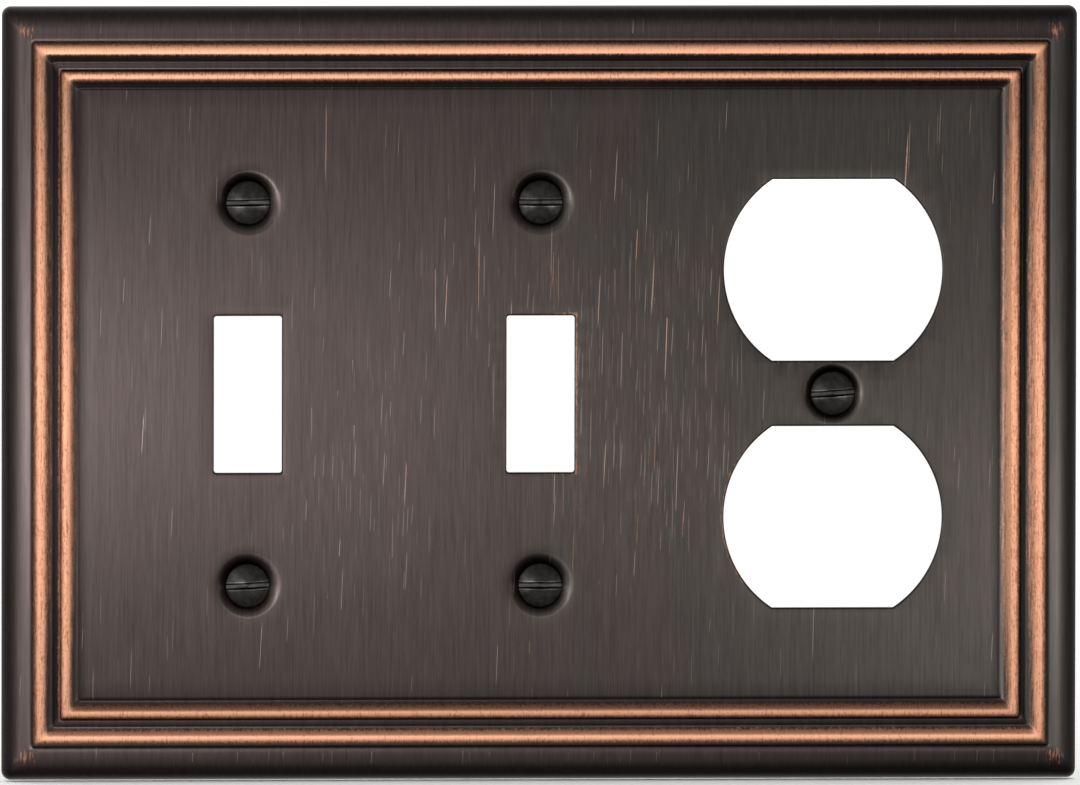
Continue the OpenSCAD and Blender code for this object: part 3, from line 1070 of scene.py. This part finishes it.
def hand_over(node, body, data, slot, *materials):
    """Makes the visual piece that stands for a CAD node and moves with its body."""
    for material in materials:
        data.materials.append(material)
    data.shade_smooth()
    data.set_sharp_from_angle(angle=SHARP_ANGLE)
    piece = link(node + "_visual", data)
    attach(piece, body)
    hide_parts(node)


def joint_places():
    """Each screw's axis, from its joint: node name to (x, z) in mm."""
    places = {}
    bodies = frame["record"]["behaviour"]["bodies"]
    for joint in frame["joints"]:
        x, _, z = joint["pos_m"]
        for node in bodies[joint["child"]]:
            places[node] = (x / MM, z / MM)
    return places


def add_dimple(skin, node, centre):
    """Gives the dimple's edge rings in the face and in the back."""
    r = RECEPTACLE_DIMPLE_R if node == "receptacle_screw" else SWITCH_DIMPLE_R
    front, back = [[at_height(circle(ring_r, centre), h) for ring_r, h in curve]
                   for curve in dimple_curves(r)]
    skin.slot = 0
    rings = skin.sweep(front)
    skin.slot = 1
    return rings[0], skin.sweep([rings[-1]] + back)[-1]


def add_opening(skin, outline, centre):
    """Gives the opening's edge rings in the face and in the back."""
    skin.slot = 0
    rings = skin.sweep(opening_rings(outline, centre))
    return rings[0], rings[-1]


def make_plate(places):
    skin = Skin()
    front = skin.sweep(face_rings())
    skin.slot = 1
    back = skin.sweep(back_rings())
    skin.bridge(back[0], front[0])

    holes = [add_dimple(skin, node, centre) for node, centre in places.items()]
    holes += [add_opening(skin, toggle_outline, (x, 0)) for x in (-GANG_PITCH, 0)]
    holes += [add_opening(skin, receptacle_outline, (GANG_PITCH, s * RECEPTACLE_PITCH / 2))
              for s in (1, -1)]

    skin.slot = 0
    skin.sheet(front[-1], [face for face, _ in holes], PANEL_H, FACE_SPACING, flip=False)
    skin.slot = 1
    skin.sheet(back[-1], [rear for _, rear in holes], BACK_H, BACK_SPACING, flip=True)
    hand_over("cover_plate", "plate", skin.mesh("cover_plate_visual"), "aged_bronze",
              bronze_material(), back_material())


def level(r, h):
    return at_height(circle(r, count=SCREW_AROUND), h)


def thread_radius(turn, height, top, bottom):
    """Radius of the 60 degree thread, which runs out over one pitch at each end."""
    phase = (height / THREAD_PITCH - turn) % 1.0
    flank = abs(phase - 0.5) * 2
    cut = THREAD_DEPTH * min(1.0, max(0.0, (flank - CREST_FLAT) / (1 - CREST_FLAT - ROOT_FLAT)))
    fade = min(1.0, (top - height) / THREAD_PITCH, (height - bottom) / THREAD_PITCH)
    return THREAD_CORE + (THREAD_DEPTH - cut) * max(0.0, fade)


def thread_rings():
    """From the middle of the tip to the neck."""
    low = TIP_H + TIP_ROUND
    run = THREAD_TOP - TIP_ROUND - low
    rings = [level(THREAD_CORE * 0.5, TIP_H), level(THREAD_CORE * 0.93, TIP_H),
             level(THREAD_CORE, low)]
    count = int(run / THREAD_PITCH * STEPS_PER_PITCH)
    for i in range(1, count):
        h = low + run * i / count
        ring = []
        for k in range(SCREW_AROUND):
            a = 2 * math.pi * k / SCREW_AROUND
            r = thread_radius(k / SCREW_AROUND, h, THREAD_TOP, low)
            ring.append((r * math.cos(a), r * math.sin(a), h))
        rings.append(ring)
    return rings + [level(THREAD_CORE, THREAD_TOP), level(NECK_R, THREAD_TOP + NECK_STEP)]


def head_rings():
    """From the neck up the cone, round the edge and over the dome."""
    low = HEAD_EDGE_H - (HEAD_R - NECK_R) / math.tan(CONE_ANGLE)
    high = HEAD_EDGE_H - HEAD_ROUND
    rings = [level(NECK_R + (HEAD_R - HEAD_ROUND - NECK_R) * t, low + (high - low) * t)
             for t in steps(5)]
    rings += [level(HEAD_R, HEAD_EDGE_H + 0.02),
              level(HEAD_R, HEAD_EDGE_H + HEAD_BAND - HEAD_ROUND)]
    dome_r = (HEAD_R ** 2 + DOME_RISE ** 2) / (2 * DOME_RISE)
    half = math.asin(HEAD_R / dome_r)
    for t in steps(DOME_STEPS)[1:-1]:
        a = half * (1 - t)
        rings.append(level(dome_r * math.sin(a), HEAD_TOP - dome_r * (1 - math.cos(a))))
    return rings


def screw_blank():
    skin = Skin()
    rings = skin.sweep(thread_rings() + head_rings())
    skin.cap(rings[-1], (0, 0, HEAD_TOP))
    skin.cap(rings[0], (0, 0, TIP_H))
    return link("screw_blank", skin.mesh("screw_blank"))


def slot_cutter():
    skin = Skin()
    rings = []
    for h, width in ((HEAD_TOP - SLOT_DEPTH, SLOT_FLOOR_W), (HEAD_TOP + 1, SLOT_W + SLOT_FLARE)):
        rings.append([(sx * HEAD_R * 1.5, sz * width / 2, h)
                      for sx, sz in ((-1, -1), (1, -1), (1, 1), (-1, 1))])
    for ring in skin.sweep(rings):
        skin.face(tuple(ring))
    return link("slot_cutter", skin.mesh("slot_cutter"))


def screw_mesh():
    """The screw on its own axis, head up, with a level slot and softened lips."""
    blank = screw_blank()
    cutter = slot_cutter()
    cut = blank.modifiers.new("slot", "BOOLEAN")
    cut.operation = "DIFFERENCE"
    cut.object = cutter
    cut.solver = "EXACT"
    soften = blank.modifiers.new("edges", "BEVEL")
    soften.width = LIP_ROUND * MM
    soften.segments = 3
    soften.limit_method = "ANGLE"
    soften.angle_limit = math.radians(50)
    graph = bpy.context.evaluated_depsgraph_get()
    result = bpy.data.meshes.new_from_object(blank.evaluated_get(graph))
    for helper in (blank, cutter):
        bpy.data.objects.remove(helper)
    return result


def make_screws(places):
    master = screw_mesh()
    for node, (x, z) in places.items():
        data = master.copy()
        data.name = node + "_visual"
        turn = math.radians(SLOT_TURNS[node])
        for v in data.vertices:
            vx, vy, vz = v.co
            v.co = (x * MM + vx * math.cos(turn) - vz * math.sin(turn), vy,
                    z * MM + vx * math.sin(turn) + vz * math.cos(turn))
        hand_over(node, node, data, "black_screw", screw_material(node, (x, z)))


# ---- studio, in metres

# Brightness the metal sees around it, against the cosine of the angle from straight ahead
STUDIO_GLOW = ((-1, 0.5), (-0.6, 0.3), (-0.2, 0.12), (0.07, 0.15), (0.34, 0.2), (0.5, 0.34),
               (0.64, 0.5), (0.74, 0.68), (0.86, 0.85), (1, 0.9))
BACKDROP = (1.25, 1.25, 1.25, 1)

# Name, place, target, width, height and power
LIGHTS = (
    ("strip_left", (-0.115, -0.25, -0.017), (-0.10, 0, 0.001), 0.10, 0.04, 0.19),
    ("strip_right", (0.175, -0.25, -0.045), (0.09, 0, -0.026), 0.10, 0.04, 0.17),
    ("soft_left", (-0.26, -0.30, 0.0), (-0.05, 0, 0), 0.15, 0.40, 0.5),
)

FLOOR_R = 1.5
FLOOR_GAP = 0.0002

CAMERA_LEFT = math.radians(3.1)
CAMERA_UP = math.radians(3.9)
CAMERA_ROLL = math.radians(0.1)
CAMERA_DISTANCE = 5.5
CAMERA_TARGET = Vector((0.00008, -0.0015, 0.00001))
SENSOR_W = 36
# The width of the picture, over the width of the plate
VIEW_MARGIN = 1.003842


def make_world():
    """White to the camera and to rough surfaces; reflections see a glow that varies."""
    scene = bpy.context.scene
    scene.view_settings.view_transform = "Standard"
    scene.view_settings.look = "None"
    scene.world = bpy.data.worlds.new("studio")
    scene.world.use_nodes = True
    tree = scene.world.node_tree
    direction = tree.nodes.new("ShaderNodeTexCoord")
    split = tree.nodes.new("ShaderNodeSeparateXYZ")
    tree.links.new(direction.outputs["Generated"], split.inputs[0])
    forward = tree.nodes.new("ShaderNodeMapRange")
    tree.links.new(split.outputs["Y"], forward.inputs[0])
    for socket, value in zip(forward.inputs[1:5], (1, -1, 0, 1)):
        socket.default_value = value
    glow = tree.nodes.new("ShaderNodeFloatCurve")
    tree.links.new(forward.outputs[0], glow.inputs["Value"])
    draw_curve(glow.mapping, [((c + 1) / 2, e) for c, e in STUDIO_GLOW], straight=False)
    path = tree.nodes.new("ShaderNodeLightPath")
    mix = tree.nodes.new("ShaderNodeMix")
    mix.data_type = "RGBA"
    tree.links.new(path.outputs["Is Glossy Ray"], mix.inputs["Factor"])
    mix.inputs[6].default_value = BACKDROP
    tree.links.new(glow.outputs[0], mix.inputs[7])
    tree.links.new(mix.outputs[2], tree.nodes["Background"].inputs["Color"])


def make_light(name, place, target, width, height, power):
    lamp = bpy.data.lights.new(name, "AREA")
    lamp.shape = "RECTANGLE"
    lamp.size = width
    lamp.size_y = height
    lamp.energy = power
    holder = link(name, lamp)
    holder.location = place
    aim = Vector(target) - Vector(place)
    holder.rotation_mode = "QUATERNION"
    holder.rotation_quaternion = aim.to_track_quat("-Z", "Y")
    holder.visible_camera = False


def make_floor():
    data = bpy.data.meshes.new("floor")
    ring = [(x, y, cad_box[0].z - FLOOR_GAP) for x, y in circle(FLOOR_R, count=64)]
    data.from_pydata(ring, [], [tuple(range(len(ring)))])
    data.materials.append(floor_material())
    floor = link("floor", data)
    floor.visible_glossy = False


def make_camera():
    data = bpy.data.cameras.new("camera")
    data.sensor_width = SENSOR_W
    data.lens = SENSOR_W * CAMERA_DISTANCE / (PLATE_W * MM * VIEW_MARGIN)
    away = Vector((-math.sin(CAMERA_LEFT) * math.cos(CAMERA_UP),
                   -math.cos(CAMERA_LEFT) * math.cos(CAMERA_UP), math.sin(CAMERA_UP)))
    camera = link("camera", data)
    camera.location = CAMERA_TARGET + away * CAMERA_DISTANCE
    camera.rotation_mode = "QUATERNION"
    roll = Quaternion((0, 0, 1), CAMERA_ROLL)
    camera.rotation_quaternion = (-away).to_track_quat("-Z", "Y") @ roll
    bpy.context.scene.camera = camera


screw_places = joint_places()
make_plate(screw_places)
make_screws(screw_places)
make_world()
for light in LIGHTS:
    make_light(*light)
make_floor()
make_camera()
